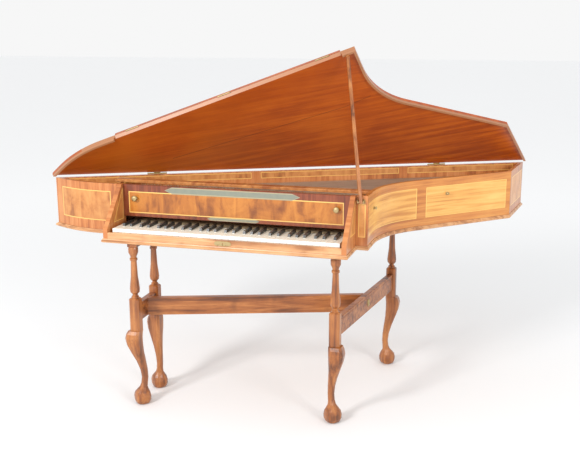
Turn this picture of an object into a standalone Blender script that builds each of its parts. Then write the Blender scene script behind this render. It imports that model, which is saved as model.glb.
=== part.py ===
# A bentside spinet on a stand with cabriole legs.
# Metres, +Z up, +X along the keyboard to the player's right, +Y away from the player.
# The keyboard's front left corner is the working origin. At the end the whole instrument
# is moved so that the sole of the front left foot is the origin.

import bpy
import bmesh
from math import pi, sin, cos, tan, radians, sqrt, atan2
from mathutils import Vector, Matrix

# Case, seen from above
SPINE_LEFT = Vector((-0.324, 0.178))
SPINE_LENGTH = 1.913
SPINE_ANGLE = radians(27.57)
TAIL_CORNER = Vector((1.3374, 0.7974))
BENTSIDE_X = 0.899
BENTSIDE_RADIUS = 0.350
RETURN_Y = 0.124
LEFT_END_Y = 0.110
LEFT_END_RADIUS = 0.420
LEFT_END_TANGENT_X = -0.090
CHEEK_FRONT_Y = -0.017
ARC_STEPS = 12

# Case, heights and thicknesses
CASE_BOTTOM = 0.609
CASE_HEIGHT = 0.189
BOTTOM_THICKNESS = 0.014
MOULDING_REACH = 0.006
WALL = 0.014
CHEEK = 0.017
SOUNDBOARD_DEPTH = 0.050
SOUNDBOARD_THICKNESS = 0.003
LINER_HEIGHT = 0.020
LINER_THICKNESS = 0.012
GAP = 0.0003

# Keyboard
NATURAL_PITCH = 0.0231
NATURALS = 36
KEY_TOP = 0.6576
KEY_THICKNESS = 0.016
KEY_CLEARANCE = 0.0008
HEAD_LENGTH = 0.040
SHARP_LENGTH = 0.078
SHARP_HEIGHT = 0.011
SHARP_WIDTH = 0.0098
LEVER_WIDTH = 0.0116
KEY_BACK_Y = 0.252
BALANCE_Y = 0.142
BALANCE_RAIL_WIDTH = 0.022
KEY_BLOCK_LEFT = 0.012
KEY_BLOCK_RIGHT = 0.0095
KEY_SLIP_HEIGHT = 0.036
KEY_SLIP_THICKNESS = 0.013
LOCK_OFFSET = 0.009
KEY_DIP = radians(3.2)
PLAYED_FIRST = 13
PLAYED_NATURALS = 4

# Action
JACK_Y = 0.240
JACK_WIDTH = 0.011
JACK_THICKNESS = 0.004
JACK_SLOT_CLEARANCE = 0.0003
JACK_TOP_BELOW_CASE = 0.0185
GUIDE_FRONT_Y = 0.2223
GUIDE_BACK_Y = 0.2577
GUIDE_THICKNESS = 0.010
GUIDE_LEFT_X = -0.100
JACK_RAIL_WIDTH = 0.038
JACK_RAIL_THICKNESS = 0.010
JACK_RAIL_BELOW_CASE = 0.002
BELLY_RAIL_THICKNESS = 0.014

# Wrestplank, tuning pins, nut and bridge
WRESTPLANK_THICKNESS = 0.034
WRESTPLANK_DEPTH = 0.046
TUNING_PIN_RADIUS = 0.0022
TUNING_PIN_HEIGHT = 0.026
NUT_HEIGHT = 0.013
NUT_WIDTH = 0.009
BRIDGE_HEIGHT = 0.018
BRIDGE_WIDTH = 0.012
HITCHPIN_RAIL_WIDTH = 0.024
HITCHPIN_RAIL_HEIGHT = 0.011

# Nameboard
NAMEBOARD_FRONT_Y = 0.1195
NAMEBOARD_THICKNESS = 0.012
NAMEBOARD_LIFT = 0.022
NAMEBOARD_DROP = 0.0015
KNOB_RADIUS = 0.011
KNOB_LENGTH = 0.018
KNOB_INSET = 0.048
KNOB_HEIGHT = 0.747

# Lid, flap and their hinges
LID_THICKNESS = 0.013
LID_OVERHANG = 0.010
LID_FRONT_Y = 0.100
LID_OPEN = radians(48)
LID_HINGE_OFFSET = 0.010
LIP_DROP = 0.010
LIP_WIDTH = 0.0085
FLAP_LEFT_X = -0.027
FLAP_RIGHT_X = 0.856
FLAP_WIDTH = 0.196
FLAP_SLOPE = radians(49)
FLAP_PIN_ABOVE = 0.0006
FLAP_HINGE_LENGTH = 0.052
FLAP_BARREL = 0.0022
FLAP_LEAF_WIDTH = 0.014
HINGE_BARREL = 0.0035
HINGE_LENGTH = 0.075
LEAF = 0.0016

# Prop stick
PROP_FOOT = Vector((0.876, 0.110, 0.779))
PROP_WIDTH = 0.011
PROP_THICKNESS = 0.008

# Stand
FRONT_LEFT = Vector((0.080, -0.004))
FRONT_RIGHT = Vector((0.810, 0.035))
BACK_LEFT = Vector((0.075, 0.170))
BACK_RIGHT = Vector((0.893, 0.655))
BLOCK_SIDE = 0.038
BLOCK_BOTTOM = 0.305
BLOCK_TOP = 0.408
STRETCHER_THICKNESS = 0.022
STRETCHER_BOTTOM = 0.318
STRETCHER_TOP = 0.384
BEARER_WIDTH = 0.034
BEARER_THICKNESS = 0.012

CASE_TOP = CASE_BOTTOM + CASE_HEIGHT
FLOOR_TOP = CASE_BOTTOM + BOTTOM_THICKNESS
SOUNDBOARD_TOP = CASE_TOP - SOUNDBOARD_DEPTH
SPINE_DIRECTION = Vector((cos(SPINE_ANGLE), sin(SPINE_ANGLE)))
SPINE_RIGHT = SPINE_LEFT + SPINE_DIRECTION * SPINE_LENGTH
OUTWARD = Vector((-SPINE_DIRECTION.y, SPINE_DIRECTION.x))
KEY_SPAN = NATURALS * NATURAL_PITCH
LEFT_CHEEK_IN = -KEY_BLOCK_LEFT
LEFT_CHEEK_OUT = LEFT_CHEEK_IN - CHEEK
RIGHT_CHEEK_IN = KEY_SPAN + KEY_BLOCK_RIGHT
RIGHT_CHEEK_OUT = RIGHT_CHEEK_IN + CHEEK
NAMEBOARD_BACK_Y = NAMEBOARD_FRONT_Y + NAMEBOARD_THICKNESS
PLANK_FRONT_Y = NAMEBOARD_BACK_Y + 2 * GAP
PLANK_BACK_Y = GUIDE_FRONT_Y - GAP
STRING_Z = SOUNDBOARD_TOP + BRIDGE_HEIGHT
PLANK_TOP = STRING_Z - NUT_HEIGHT
FLAP_PIN_Z = CASE_TOP + LID_THICKNESS + FLAP_PIN_ABOVE
LID_PIN = Vector((*(SPINE_LEFT + OUTWARD * LID_HINGE_OFFSET), CASE_TOP))
LID_AXIS = Vector((SPINE_DIRECTION.x, SPINE_DIRECTION.y, 0))


# Materials

def material(name, color, roughness, metallic=0.0):
    mat = bpy.data.materials.new(name)
    mat.use_nodes = True
    shader = mat.node_tree.nodes["Principled BSDF"]
    shader.inputs["Base Color"].default_value = (*color, 1)
    shader.inputs["Roughness"].default_value = roughness
    shader.inputs["Metallic"].default_value = metallic
    return mat


def clear_scene():
    for obj in list(bpy.data.objects):
        bpy.data.objects.remove(obj)


# Small geometry helpers

def node(name, mesh, mat):
    mesh.materials.clear()
    mesh.materials.append(mat)
    obj = bpy.data.objects.new(name, mesh)
    bpy.context.collection.objects.link(obj)
    return obj


def loft(rings, name="loft"):
    """Closed solid through rings that have the same number of points, from bottom to top."""
    bm = bmesh.new()
    loops = [[bm.verts.new(p) for p in ring] for ring in rings]
    count = len(loops[0])
    for low, high in zip(loops, loops[1:]):
        for i in range(count):
            j = (i + 1) % count
            bm.faces.new((low[i], low[j], high[j], high[i]))
    bm.faces.new(list(reversed(loops[0])))
    bm.faces.new(loops[-1])
    bmesh.ops.recalc_face_normals(bm, faces=bm.faces)
    mesh = bpy.data.meshes.new(name)
    bm.to_mesh(mesh)
    bm.free()
    return mesh


def prism(outline, low, high):
    return loft([[(p[0], p[1], z) for p in outline] for z in (low, high)])


def box(x0, x1, y0, y1, z0, z1):
    return prism([(x0, y0), (x1, y0), (x1, y1), (x0, y1)], z0, z1)


def turned(profile, centre, direction, steps=16):
    """Solid of revolution: profile holds (distance along the axis, radius)."""
    axis = Vector(direction).normalized()
    turn = Vector((0, 0, 1)).rotation_difference(axis)
    rings = []
    for along, radius in profile:
        ring = [Vector((radius * cos(2 * pi * i / steps), radius * sin(2 * pi * i / steps), along))
                for i in range(steps)]
        rings.append([Vector(centre) + turn @ p for p in ring])
    return loft(rings)


def boolean(base, tools, operation):
    """Join or cut meshes with the exact solver and return the new mesh."""
    host = bpy.data.objects.new("host", base)
    bpy.context.collection.objects.link(host)
    helpers = []
    for tool in tools:
        helper = bpy.data.objects.new("helper", tool)
        bpy.context.collection.objects.link(helper)
        helper.hide_render = True
        helper.display_type = "WIRE"
        cut = host.modifiers.new("cut", "BOOLEAN")
        cut.operation = operation
        cut.object = helper
        helpers.append(helper)
    graph = bpy.context.evaluated_depsgraph_get()
    result = bpy.data.meshes.new_from_object(host.evaluated_get(graph))
    for helper in helpers + [host]:
        bpy.data.objects.remove(helper)
    return result


def union(base, *tools):
    return boolean(base, tools, "UNION")


def cut(base, *tools):
    return boolean(base, tools, "DIFFERENCE")


def common(base, tool):
    return boolean(base, [tool], "INTERSECT")


def merged(meshes):
    """Several separate solids in one mesh, for use as one cutter or one addition."""
    bm = bmesh.new()
    for mesh in meshes:
        bm.from_mesh(mesh)
    result = bpy.data.meshes.new("merged")
    bm.to_mesh(result)
    bm.free()
    return result


def turn_about(mesh, point, axis, angle):
    """Turn a mesh about an axis through a point."""
    place = Matrix.Translation(point)
    mesh.transform(place @ Matrix.Rotation(angle, 4, axis) @ place.inverted())
    return mesh


def hang_on(obj, point):
    """Give an object its origin at a point on its joint's axis."""
    obj.data.transform(Matrix.Translation(-Vector(point)))
    obj.location = point


def offset(points, distances):
    """Offset a closed counter-clockwise outline outwards, edge i by distances[i]."""
    count = len(points)
    moved = []
    for i in range(count):
        before, here, after = points[i - 1], points[i], points[(i + 1) % count]
        first = (here - before).normalized()
        second = (after - here).normalized()
        a, b = distances[i - 1], distances[i]
        n1 = Vector((first.y, -first.x))
        n2 = Vector((second.y, -second.x))
        cross = first.x * second.y - first.y * second.x
        if abs(cross) < 0.02:
            moved.append(here + (n1 * a + n2 * b) / 2)
        else:
            along = ((here + n2 * b) - (here + n1 * a))
            t = (along.x * second.y - along.y * second.x) / cross
            moved.append(here + n1 * a + first * t)
    return moved


# Outline of the case

def arc(centre, radius, start, end, steps):
    return [centre + Vector((cos(a), sin(a))) * radius
            for a in (start + (end - start) * i / steps for i in range(steps + 1))]


def bentside_points():
    """Straight behind the return, then a quarter turn eased into the run to the tail corner."""
    run = TAIL_CORNER - Vector((BENTSIDE_X + BENTSIDE_RADIUS, 0))
    centre = Vector((BENTSIDE_X + BENTSIDE_RADIUS, 0))
    slope = radians(45)
    rise = (TAIL_CORNER.x - BENTSIDE_X - BENTSIDE_RADIUS * (1 - cos(slope))) * tan(slope)
    centre.y = run.y - rise - BENTSIDE_RADIUS * sin(slope)
    return [Vector((BENTSIDE_X, RETURN_Y))] + arc(centre, BENTSIDE_RADIUS, pi, pi - slope, ARC_STEPS) + [
        TAIL_CORNER.copy()]


def left_end_points():
    """From the spine round the swept left end to its flat front."""
    centre = Vector((LEFT_END_TANGENT_X, LEFT_END_Y + LEFT_END_RADIUS))
    reach = SPINE_LEFT.x - centre.x
    start = atan2(-sqrt(LEFT_END_RADIUS ** 2 - reach ** 2), reach)
    points = arc(centre, LEFT_END_RADIUS, start, -pi / 2, ARC_STEPS)
    return [SPINE_LEFT.copy()] + points[2:]


def case_outline():
    """Counter-clockwise outline, with the name of the wall that each edge belongs to."""
    left = left_end_points()
    bent = bentside_points()
    points = [Vector((LEFT_CHEEK_OUT, CHEEK_FRONT_Y)), Vector((RIGHT_CHEEK_OUT, CHEEK_FRONT_Y)),
              Vector((RIGHT_CHEEK_OUT, RETURN_Y))]
    names = ["front", "right cheek", "return"]
    points += bent
    names += ["bentside"] * (len(bent) - 1) + ["tail"]
    points += [SPINE_RIGHT.copy()]
    names += ["spine"]
    points += left
    names += ["left end"] * len(left)
    points += [Vector((LEFT_CHEEK_OUT, LEFT_END_Y))]
    names += ["left cheek"]
    return points, names


OUTLINE, EDGES = case_outline()
INNER = offset(OUTLINE, [-WALL] * len(OUTLINE))


def wall_plan(wall, trim_start=GAP, trim_end=GAP, thickness=WALL):
    """Plan of one wall between its mitred ends."""
    first = EDGES.index(wall)
    last = len(EDGES) - 1 - EDGES[::-1].index(wall)
    ring = list(range(first, last + 2))
    inner = offset(OUTLINE, [-thickness] * len(OUTLINE))
    outside = [OUTLINE[i % len(OUTLINE)].copy() for i in ring]
    inside = [inner[i % len(OUTLINE)].copy() for i in ring]
    start = (outside[1] - outside[0]).normalized() * trim_start
    end = (outside[-2] - outside[-1]).normalized() * trim_end
    outside[0] += start
    inside[0] += start
    outside[-1] += end
    inside[-1] += end
    if wall == "return":
        outside[0] = Vector((RIGHT_CHEEK_OUT + GAP, RETURN_Y))
        inside[0] = Vector((RIGHT_CHEEK_OUT + GAP, RETURN_Y + thickness))
    if wall == "left end":
        outside[-1] = Vector((LEFT_CHEEK_OUT - GAP, LEFT_END_Y))
        inside[-1] = Vector((LEFT_CHEEK_OUT - GAP, LEFT_END_Y + thickness))
    return outside, inside


def inside_plan(clearance, front):
    """Plan of the space inside the walls, behind a line across the instrument."""
    shrunk = offset(OUTLINE, [-(WALL + clearance)] * len(OUTLINE))
    keep = [p for p, wall in zip(shrunk, EDGES) if wall in ("bentside", "tail", "spine", "left end")]
    keep[0] = Vector((keep[0].x, RETURN_Y + WALL + clearance))
    first = keep[0]
    corner = Vector((RIGHT_CHEEK_OUT + clearance, first.y))
    return keep + [Vector((LEFT_CHEEK_OUT, front)), Vector((corner.x, front)), corner]


def inside_solid(clearance, front, low, high):
    plan = inside_plan(clearance, front)
    block = box(-1, 2, front, 2, low, high)
    return common(block, prism(plan, low - 0.01, high + 0.01))


# Stand

def leg_ring(z, shift, radius, corner, lobes, out, centre, steps=16):
    """One level of a leg: round, square or clawed, moved along the leg's outward diagonal."""
    ring = []
    for i in range(steps):
        a = 2 * pi * (i + 0.5) / steps
        c, s = cos(a), sin(a)
        square = 1 / max(abs(c), abs(s))
        r = radius * (1 + corner * (square - 1)) * (1 + lobes * max(0.0, cos(4 * a)) ** 2)
        ring.append(Vector((centre.x + out.x * shift + r * c, centre.y + out.y * shift + r * s, z)))
    return ring


def leg(name, centre, out, wood):
    """Ball and claw foot, cabriole curve, square block and turned baluster in one length."""
    out = Vector(out).normalized()
    half = BLOCK_SIDE / 2
    top = CASE_BOTTOM - BEARER_THICKNESS - GAP
    levels = [
        (0.000, -0.012, 0.0180, 0, 0.10), (0.005, -0.012, 0.0250, 0, 0.16),
        (0.016, -0.012, 0.0290, 0, 0.18), (0.030, -0.012, 0.0300, 0, 0.16),
        (0.044, -0.012, 0.0270, 0, 0.14), (0.055, -0.014, 0.0200, 0, 0.12),
        (0.064, -0.017, 0.0145, 0, 0.06), (0.078, -0.021, 0.0122, 0, 0),
        (0.100, -0.024, 0.0118, 0.1, 0), (0.130, -0.021, 0.0130, 0.2, 0),
        (0.165, -0.012, 0.0160, 0.4, 0), (0.200, 0.000, 0.0205, 0.6, 0),
        (0.232, 0.009, 0.0250, 0.8, 0), (0.258, 0.012, 0.0265, 0.9, 0),
        (0.275, 0.009, 0.0250, 1.0, 0), (0.286, 0.004, 0.0225, 1.0, 0),
        (0.287, 0.0, half, 1.0, 0), (BLOCK_BOTTOM, 0.0, half, 1.0, 0),
        (BLOCK_TOP - 0.004, 0.0, half, 1.0, 0), (BLOCK_TOP, 0.0, half - 0.004, 1.0, 0),
        (BLOCK_TOP + 0.0005, 0.0, 0.0130, 0, 0), (BLOCK_TOP + 0.006, 0.0, 0.0135, 0, 0),
        (BLOCK_TOP + 0.010, 0.0, 0.0090, 0, 0), (BLOCK_TOP + 0.014, 0.0, 0.0095, 0, 0),
        (BLOCK_TOP + 0.022, 0.0, 0.0165, 0, 0), (BLOCK_TOP + 0.034, 0.0, 0.0180, 0, 0),
        (BLOCK_TOP + 0.050, 0.0, 0.0165, 0, 0), (BLOCK_TOP + 0.080, 0.0, 0.0128, 0, 0),
        (BLOCK_TOP + 0.132, 0.0, 0.0108, 0, 0), (BLOCK_TOP + 0.138, 0.0, 0.0108, 0, 0),
        (BLOCK_TOP + 0.140, 0.0, 0.0138, 0, 0), (BLOCK_TOP + 0.147, 0.0, 0.0138, 0, 0),
        (BLOCK_TOP + 0.149, 0.0, 0.0105, 0, 0), (BLOCK_TOP + 0.156, 0.0, 0.0120, 0, 0),
        (BLOCK_TOP + 0.168, 0.0, 0.0175, 0, 0), (top - 0.006, 0.0, 0.0180, 0, 0),
        (top, 0.0, 0.0165, 0, 0)]
    rings = [leg_ring(z, shift, radius, corner, lobes, out, centre)
             for z, shift, radius, corner, lobes in levels]
    return node(name, loft(rings), wood)


def side_stretcher(name, start, end, wood):
    """Board on edge between two blocks, with a scratched bead below its top."""
    along = (end - start).normalized()
    across = Vector((-along.y, along.x))
    half = STRETCHER_THICKNESS / 2
    reach = BLOCK_SIDE / 2 / max(abs(along.x), abs(along.y)) + GAP
    a, b = start + along * reach, end - along * reach
    square_a = Vector((a.x, start.y + BLOCK_SIDE / 2 + GAP))
    square_b = Vector((b.x, end.y - BLOCK_SIDE / 2 - GAP))
    slope = along / along.y

    def level(half_width, z):
        corners = []
        for base, sign in ((square_a, -1), (square_a, 1), (square_b, 1), (square_b, -1)):
            side = across * half_width * sign
            p = Vector((base.x + side.x, base.y + side.y))
            p += slope * (base.y - p.y)
            corners.append((p.x, p.y, z))
        return corners

    bead = 0.004
    heights = [(half - 0.001, STRETCHER_BOTTOM), (half, STRETCHER_BOTTOM + 0.001),
               (half, STRETCHER_TOP - 3 * bead), (half - 0.0015, STRETCHER_TOP - 2.6 * bead),
               (half, STRETCHER_TOP - 2.2 * bead), (half, STRETCHER_TOP - 0.002),
               (half - 0.002, STRETCHER_TOP)]
    return node(name, loft([level(w, z) for w, z in heights]), wood)


def build_stand(wood, brass):
    leg("leg_front_left", FRONT_LEFT, (-1, -1), wood)
    leg("leg_front_right", FRONT_RIGHT, (1, -1), wood)
    leg("leg_back_left", BACK_LEFT, (-1, 1), wood)
    leg("leg_back_right", BACK_RIGHT, (1, 1), wood)
    side_stretcher("stretcher_left", FRONT_LEFT, BACK_LEFT, wood)
    side_stretcher("stretcher_right", FRONT_RIGHT, BACK_RIGHT, wood)
    left = (FRONT_LEFT + BACK_LEFT) / 2
    right = (FRONT_RIGHT + BACK_RIGHT) / 2
    along = (right - left).normalized()
    across = Vector((-along.y, along.x)) * STRETCHER_THICKNESS / 2

    def meet(line, start, end, side):
        edge = (end - start).normalized()
        face = Vector((-edge.y, edge.x)) * side * (STRETCHER_THICKNESS / 2 + GAP)
        base = start + face - line
        t = (base.x * edge.y - base.y * edge.x) / (along.x * edge.y - along.y * edge.x)
        return line + along * t

    plan = [meet(left - across, FRONT_LEFT, BACK_LEFT, -1), meet(right - across, FRONT_RIGHT, BACK_RIGHT, 1),
            meet(right + across, FRONT_RIGHT, BACK_RIGHT, 1), meet(left + across, FRONT_LEFT, BACK_LEFT, -1)]
    node("stretcher_long", prism(plan, STRETCHER_BOTTOM, STRETCHER_TOP), wood)

    for name, front, back in (("bearer_left", FRONT_LEFT, BACK_LEFT), ("bearer_right", FRONT_RIGHT, BACK_RIGHT)):
        line = (back - front).normalized()
        side = Vector((-line.y, line.x)) * BEARER_WIDTH / 2
        a, b = front - line * 0.012, back + line * 0.022
        plan = [a + side * s for s in (-1, 1)] + [b + side * s for s in (1, -1)]
        node(name, prism([plan[0], plan[3], plan[2], plan[1]],
                         CASE_BOTTOM - BEARER_THICKNESS, CASE_BOTTOM - GAP), wood)

    edge = (BACK_RIGHT - FRONT_RIGHT).normalized()
    face = Vector((edge.y, -edge.x))
    seat = right + face * (STRETCHER_THICKNESS / 2 + GAP)
    middle = (STRETCHER_BOTTOM + STRETCHER_TOP) / 2
    cover = turned([(0, 0.012), (0.0015, 0.0115), (0.0035, 0.008), (0.0045, 0.004)],
                   (0, 0, 0), (0, 0, 1), 16)
    cover.transform(Matrix.Diagonal((0.8, 1.25, 1, 1)))
    turn = Matrix.Rotation(atan2(face.y, face.x), 4, "Z") @ Matrix.Rotation(pi / 2, 4, "Y")
    cover.transform(Matrix.Translation((seat.x, seat.y, middle)) @ turn @ Matrix.Rotation(pi / 2, 4, "Z"))
    node("bolt_cover", cover, brass)


# Case

def build_case(veneer, inside_wood, brass):
    levels = [(0.003, CASE_BOTTOM), (MOULDING_REACH, CASE_BOTTOM + 0.003),
              (MOULDING_REACH, CASE_BOTTOM + 0.008), (0.003, CASE_BOTTOM + 0.011), (0.002, FLOOR_TOP)]
    rings = []
    for reach, z in levels:
        rings.append([(p.x, p.y, z) for p in offset(OUTLINE, [reach] * len(OUTLINE))])
    node("bottom_board", loft(rings), veneer)
    base = FLOOR_TOP + GAP

    def wall(name, edge, start=GAP, end=GAP, liner=True):
        outside, inside = wall_plan(edge, start, end)
        body = prism(outside + inside[::-1], base, CASE_TOP)
        if liner:
            low_in = wall_plan(edge, start + 0.016, end + 0.016, WALL + LINER_THICKNESS)[1]
            shell = wall_plan(edge, start + 0.016, end + 0.016, WALL / 2)[1]
            strip = prism(shell + low_in[::-1], SOUNDBOARD_TOP - SOUNDBOARD_THICKNESS - LINER_HEIGHT,
                          SOUNDBOARD_TOP - SOUNDBOARD_THICKNESS - GAP)
            strip = cut(strip, box(-1, 2, -1, GUIDE_BACK_Y + GAP, base, CASE_TOP))
            body = union(body, strip)
        return node(name, body, veneer)

    wall("spine", "spine", liner=True)
    wall("bentside", "bentside", liner=False)
    wall("tail", "tail")
    wall("left_end", "left end", end=GAP, liner=False)
    wall("front_return", "return", start=GAP, liner=False)

    slope = Vector((-cos(FLAP_SLOPE), -sin(FLAP_SLOPE)))
    below = Vector((sin(FLAP_SLOPE), -cos(FLAP_SLOPE))) * (LID_THICKNESS + FLAP_PIN_ABOVE + 0.0006)
    start = Vector((LID_FRONT_Y, FLAP_PIN_Z)) + below
    top_y = start.x + slope.x * (start.y - CASE_TOP) / -slope.y
    low_z = start.y + slope.y * (start.x - CHEEK_FRONT_Y) / -slope.x
    profile = [(CHEEK_FRONT_Y, base), (NAMEBOARD_BACK_Y, base), (NAMEBOARD_BACK_Y, CASE_TOP),
               (top_y, CASE_TOP), (CHEEK_FRONT_Y, low_z)]
    for name, x0, x1 in (("left_cheek", LEFT_CHEEK_OUT, LEFT_CHEEK_IN),
                         ("right_cheek", RIGHT_CHEEK_IN, RIGHT_CHEEK_OUT)):
        rings = [[(x, y, z) for y, z in profile] for x in (x0, x1)]
        node(name, loft(rings), veneer)

    slip_x = (LEFT_CHEEK_IN + GAP, RIGHT_CHEEK_IN - GAP)
    top = FLOOR_TOP + KEY_SLIP_HEIGHT - BOTTOM_THICKNESS
    y0 = CHEEK_FRONT_Y
    profile = [(y0, base), (y0 + KEY_SLIP_THICKNESS, base), (y0 + KEY_SLIP_THICKNESS, top - 0.002),
               (y0 + KEY_SLIP_THICKNESS - 0.002, top), (y0 + 0.003, top), (y0, top - 0.003)]
    node("key_slip", loft([[(x, y, z) for y, z in profile] for x in slip_x]), veneer)

    middle = KEY_SPAN / 2 + LOCK_OFFSET
    plate = [(x * 0.001, z * 0.001) for x, z in
             ((-28, -6), (-20, -8), (-8, -8), (0, -9), (8, -8), (20, -8), (28, -6), (31, 0),
              (28, 6), (20, 8), (-20, 8), (-28, 6), (-31, 0))]
    mid = (base + top) / 2
    body = loft([[(middle + x, y, mid + z) for x, z in plate]
                 for y in (y0 - GAP - 0.0015, y0 - GAP)])
    hole = merged([turned([(-0.01, 0.0022), (0.01, 0.0022)], (middle, y0, mid + 0.001), (0, 1, 0), 12)])
    slot = box(middle - 0.0010, middle + 0.0010, y0 - 0.01, y0 + 0.01, mid - 0.006, mid)
    node("lock_plate", cut(body, hole, slot), brass)

    belly_y = GUIDE_BACK_Y + GAP
    belly = common(box(-1, 2, belly_y, belly_y + BELLY_RAIL_THICKNESS,
                       base, SOUNDBOARD_TOP - SOUNDBOARD_THICKNESS - GAP),
                   prism(inside_plan(LINER_THICKNESS + GAP, PLANK_FRONT_Y), base - 0.01, CASE_TOP))
    node("belly_rail", belly, inside_wood)

    for name, point in (("hook_stud_front", 0.12), ("hook_stud_back", 0.62)):
        path = bentside_points()
        lengths = [(b - a).length for a, b in zip(path, path[1:])]
        want = point * sum(lengths)
        for a, b, length in zip(path, path[1:], lengths):
            if want <= length:
                break
            want -= length
        spot = a + (b - a) * want / length
        out = Vector(((b - a).y, -(b - a).x)).normalized()
        head = turned([(GAP, 0.0060), (0.0015, 0.0060), (0.003, 0.0035), (0.006, 0.0035),
                       (0.0075, 0.0060), (0.010, 0.0050), (0.0115, 0.0020)],
                      (spot.x, spot.y, CASE_TOP - 0.060), (out.x, out.y, 0), 12)
        node(name, head, brass)


# Soundboard, bridge, hitchpin rail, wrestplank

def string_line(jack_x):
    """A string beside its jack: a point on it, and its direction along the spine."""
    side = JACK_THICKNESS / 2 + 0.0011
    return Vector((jack_x, JACK_Y)) + Vector((SPINE_DIRECTION.y, -SPINE_DIRECTION.x)) * side


def build_soundboard(board, wood, brass):
    front = GUIDE_BACK_Y + GAP
    low = SOUNDBOARD_TOP - SOUNDBOARD_THICKNESS
    node("soundboard", inside_solid(GAP, front, low, SOUNDBOARD_TOP), board)

    rail_out = offset(OUTLINE, [-(WALL + GAP)] * len(OUTLINE))
    rail_in = offset(OUTLINE, [-(WALL + GAP + HITCHPIN_RAIL_WIDTH)] * len(OUTLINE))
    first = EDGES.index("bentside")
    last = EDGES.index("spine")
    pairs = [(a, b) for a, b in zip(rail_out[first:last + 1], rail_in[first:last + 1]) if b.y > front + 0.010]
    outer, inner = [a for a, b in pairs], [b for a, b in pairs]
    rail = prism(outer + inner[::-1], SOUNDBOARD_TOP + GAP, SOUNDBOARD_TOP + HITCHPIN_RAIL_HEIGHT)
    node("hitchpin_rail", rail, wood)

    path = []
    for i in range(21):
        t = i / 20
        x = 0.885 - 0.035 + 0.370 * t
        y = 0.322 + 0.395 * t + 0.030 * sin(pi * t)
        path.append(Vector((x - 0.020 * (1 - t) - 0.055 * t, y)))
    half = BRIDGE_WIDTH / 2
    levels = [(half, SOUNDBOARD_TOP + GAP), (half, SOUNDBOARD_TOP + 0.006), (0.0016, STRING_Z - 0.0006)]
    node("bridge", ribbon(path, levels), wood)


def ribbon(path, levels):
    """Moulding along a path, with its half width given at each height."""
    left, right = [], []
    for i, p in enumerate(path):
        a, b = path[max(i - 1, 0)], path[min(i + 1, len(path) - 1)]
        d = (b - a).normalized()
        left.append((p, Vector((-d.y, d.x))))
        right.append((p, Vector((d.y, -d.x))))
    rings = []
    for half, z in levels:
        ring = [p + n * half for p, n in right] + [p + n * half for p, n in reversed(left)]
        rings.append([(p.x, p.y, z) for p in ring])
    return loft(rings)


def build_wrestplank(wood, steel, jacks):
    low = PLANK_TOP - WRESTPLANK_THICKNESS
    plank = common(box(-1, 2, PLANK_FRONT_Y, PLANK_BACK_Y, low, PLANK_TOP),
                   prism(inside_plan(GAP, 0), low - 0.01, PLANK_TOP + 0.01))
    pins = []
    steps = 6
    row = (PLANK_BACK_Y - PLANK_FRONT_Y) / 5
    for i, x in enumerate(jacks):
        back = GUIDE_FRONT_Y - 0.018
        spot = string_line(x)
        nut_x = spot.x - (spot.y - back) / tan(SPINE_ANGLE)
        y = PLANK_FRONT_Y + row * (1 + i % 2)
        x_pin = nut_x - (back - y) / tan(SPINE_ANGLE) * 0.35
        pins.append(turned([(-0.004, TUNING_PIN_RADIUS), (TUNING_PIN_HEIGHT * 0.7, TUNING_PIN_RADIUS),
                            (TUNING_PIN_HEIGHT, TUNING_PIN_RADIUS * 0.75)],
                           (x_pin, y, PLANK_TOP), (0, 0, 1), steps))
    y = GUIDE_FRONT_Y - 0.018
    path = [Vector((-0.118, y)), Vector((0.800, y))]
    levels = [(NUT_WIDTH / 2, PLANK_TOP - 0.002), (NUT_WIDTH / 2, PLANK_TOP + 0.005), (0.0014, STRING_Z - 0.0006)]
    node("wrestplank", union(plank, merged(pins), ribbon(path, levels)), wood)


# Keyboard

def key_plan():
    """All keys in order: kind, left, right, lever left, lever right at the back."""
    sharp_after = {0: 0.0, 1: 0.18, 3: -0.14, 4: 0.14, 6: -0.18}
    sharps = {}
    for n in range(NATURALS - 1):
        if n % 7 in sharp_after:
            sharps[n] = (n + 1 + sharp_after[n % 7]) * NATURAL_PITCH
    keys = []
    for n in range(NATURALS):
        left, right = n * NATURAL_PITCH, (n + 1) * NATURAL_PITCH
        tail_left = sharps[n - 1] + LEVER_WIDTH / 2 if n - 1 in sharps else left
        tail_right = sharps[n] - LEVER_WIDTH / 2 if n in sharps else right
        keys.append(("natural", n, left, right, tail_left, tail_right))
        if n in sharps:
            centre = sharps[n]
            keys.append(("sharp", n, centre - SHARP_WIDTH / 2, centre + SHARP_WIDTH / 2,
                         centre - LEVER_WIDTH / 2, centre + LEVER_WIDTH / 2))
    return keys


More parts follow.
